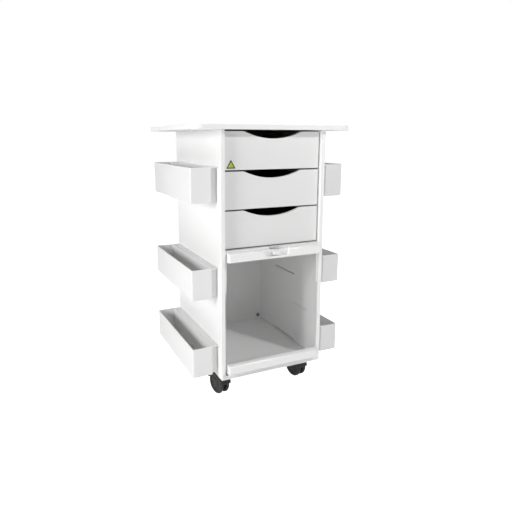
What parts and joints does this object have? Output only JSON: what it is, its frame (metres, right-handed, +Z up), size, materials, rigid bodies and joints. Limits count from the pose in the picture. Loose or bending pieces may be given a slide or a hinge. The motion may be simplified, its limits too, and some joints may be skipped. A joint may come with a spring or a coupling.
{
  "type": "rolling salon trolley",
  "caption": "White flat-panel salon trolley with scoop-front drawers, a clear drop-front compartment door, hanging side bins and swivel casters.",
  "frame": {"origin": "on the floor under the centre of the top panel", "axes": "+Z up, the front with its drawers and door faces -Y, +X to the right seen from the front"},
  "size_m": [0.546, 0.492, 0.889],
  "materials": {
    "sheet_white": "satin white rigid plastic sheet with sawn and scraped edges",
    "trim_white": "glossy white machined plastic",
    "tub_black": "fine-grained black moulded plastic",
    "clear_sheet": "clear acrylic sheet, polished edges",
    "zinc_steel": "bright zinc-plated steel",
    "caster_black": "textured black nylon",
    "wheel_black": "black polyurethane tread on a moulded wheel",
    "grommet_black": "matte black rubber",
    "label_film": "printed vinyl film, yellow-green with a dark border"
  },
  "bodies": {
    "root": {"top_panel": "sheet_white", "side_panel_left": "sheet_white", "side_panel_right": "sheet_white", "back_panel": "sheet_white", "base_panel": "sheet_white", "divider_panel": "sheet_white", "top_cleats": "sheet_white", "cabinet_runners": "zinc_steel", "cable_grommet": "grommet_black", "door_stops": "trim_white", "latch_strike": "zinc_steel", "hinge_leaves_fixed": "trim_white", "hinge_pins": "zinc_steel", "caster_plates": "zinc_steel", "caster_screws": "zinc_steel", "swivel_bearings": "zinc_steel", "kingpins": "zinc_steel", "bracket_top_left": "sheet_white", "bracket_top_right": "sheet_white", "bracket_middle_left": "sheet_white", "bracket_middle_right": "sheet_white", "bracket_bottom_left": "sheet_white", "bracket_bottom_right": "sheet_white"},
    "drawer_1": {"drawer_1_front": "sheet_white", "drawer_1_tub": "tub_black", "drawer_1_runners": "zinc_steel", "drawer_label": "label_film"},
    "drawer_2": {"drawer_2_front": "sheet_white", "drawer_2_tub": "tub_black", "drawer_2_runners": "zinc_steel"},
    "drawer_3": {"drawer_3_front": "sheet_white", "drawer_3_tub": "tub_black", "drawer_3_runners": "zinc_steel"},
    "door": {"door_panel": "clear_sheet", "door_top_rail": "trim_white", "door_bottom_rail": "trim_white", "hinge_leaves_door": "trim_white", "door_screws": "zinc_steel"},
    "latch": {"latch_slide": "trim_white"},
    "bin_top_left": {"bin_top_left": "sheet_white"},
    "bin_top_right": {"bin_top_right": "sheet_white"},
    "bin_middle_left": {"bin_middle_left": "sheet_white"},
    "bin_middle_right": {"bin_middle_right": "sheet_white"},
    "bin_bottom_left": {"bin_bottom_left": "sheet_white"},
    "bin_bottom_right": {"bin_bottom_right": "sheet_white"},
    "caster_front_left": {"caster_hood_front_left": "caster_black"},
    "wheels_front_left": {"caster_wheels_front_left": "wheel_black", "caster_axle_front_left": "zinc_steel"},
    "caster_front_right": {"caster_hood_front_right": "caster_black"},
    "wheels_front_right": {"caster_wheels_front_right": "wheel_black", "caster_axle_front_right": "zinc_steel"},
    "caster_back_left": {"caster_hood_back_left": "caster_black"},
    "wheels_back_left": {"caster_wheels_back_left": "wheel_black", "caster_axle_back_left": "zinc_steel"},
    "caster_back_right": {"caster_hood_back_right": "caster_black"},
    "wheels_back_right": {"caster_wheels_back_right": "wheel_black", "caster_axle_back_right": "zinc_steel"}
  },
  "joints": [
    {"name": "drawer_1_slide", "type": "slide", "parent": "root", "child": "drawer_1", "axis": [0, -1, 0], "range_m": [0, 0.3]},
    {"name": "drawer_2_slide", "type": "slide", "parent": "root", "child": "drawer_2", "axis": [0, -1, 0], "range_m": [0, 0.3]},
    {"name": "drawer_3_slide", "type": "slide", "parent": "root", "child": "drawer_3", "axis": [0, -1, 0], "range_m": [0, 0.3]},
    {"name": "door_hinge", "type": "hinge", "parent": "root", "child": "door", "pos_m": [0, -0.23, 0.1065], "axis": [1, 0, 0], "range_deg": [0, 90]},
    {"name": "latch_slide_up", "type": "slide", "parent": "door", "child": "latch", "axis": [0, 0, 1], "range_m": [0, 0.006]},
    {"name": "bin_top_left_lift", "type": "slide", "parent": "root", "child": "bin_top_left", "axis": [0, 0, 1], "range_m": [0, 0.014]},
    {"name": "bin_top_right_lift", "type": "slide", "parent": "root", "child": "bin_top_right", "axis": [0, 0, 1], "range_m": [0, 0.014]},
    {"name": "bin_middle_left_lift", "type": "slide", "parent": "root", "child": "bin_middle_left", "axis": [0, 0, 1], "range_m": [0, 0.014]},
    {"name": "bin_middle_right_lift", "type": "slide", "parent": "root", "child": "bin_middle_right", "axis": [0, 0, 1], "range_m": [0, 0.014]},
    {"name": "bin_bottom_left_lift", "type": "slide", "parent": "root", "child": "bin_bottom_left", "axis": [0, 0, 1], "range_m": [0, 0.014]},
    {"name": "bin_bottom_right_lift", "type": "slide", "parent": "root", "child": "bin_bottom_right", "axis": [0, 0, 1], "range_m": [0, 0.014]},
    {"name": "swivel_front_left", "type": "hinge", "parent": "root", "child": "caster_front_left", "pos_m": [-0.15, -0.156, 0.07], "axis": [0, 0, 1], "continuous": true},
    {"name": "roll_front_left", "type": "hinge", "parent": "caster_front_left", "child": "wheels_front_left", "pos_m": [-0.15457, -0.13448, 0.0375], "axis": [0.9781, 0.2079, 0], "continuous": true},
    {"name": "swivel_front_right", "type": "hinge", "parent": "root", "child": "caster_front_right", "pos_m": [0.15, -0.156, 0.07], "axis": [0, 0, 1], "continuous": true},
    {"name": "roll_front_right", "type": "hinge", "parent": "caster_front_right", "child": "wheels_front_right", "pos_m": [0.14543, -0.13448, 0.0375], "axis": [0.9781, 0.2079, 0], "continuous": true},
    {"name": "swivel_back_left", "type": "hinge", "parent": "root", "child": "caster_back_left", "pos_m": [-0.15, 0.134, 0.07], "axis": [0, 0, 1], "continuous": true},
    {"name": "roll_back_left", "type": "hinge", "parent": "caster_back_left", "child": "wheels_back_left", "pos_m": [-0.15457, 0.15552, 0.0375], "axis": [0.9781, 0.2079, 0], "continuous": true},
    {"name": "swivel_back_right", "type": "hinge", "parent": "root", "child": "caster_back_right", "pos_m": [0.15, 0.134, 0.07], "axis": [0, 0, 1], "continuous": true},
    {"name": "roll_back_right", "type": "hinge", "parent": "caster_back_right", "child": "wheels_back_right", "pos_m": [0.14543, 0.15552, 0.0375], "axis": [0.9781, 0.2079, 0], "continuous": true}
  ]
}
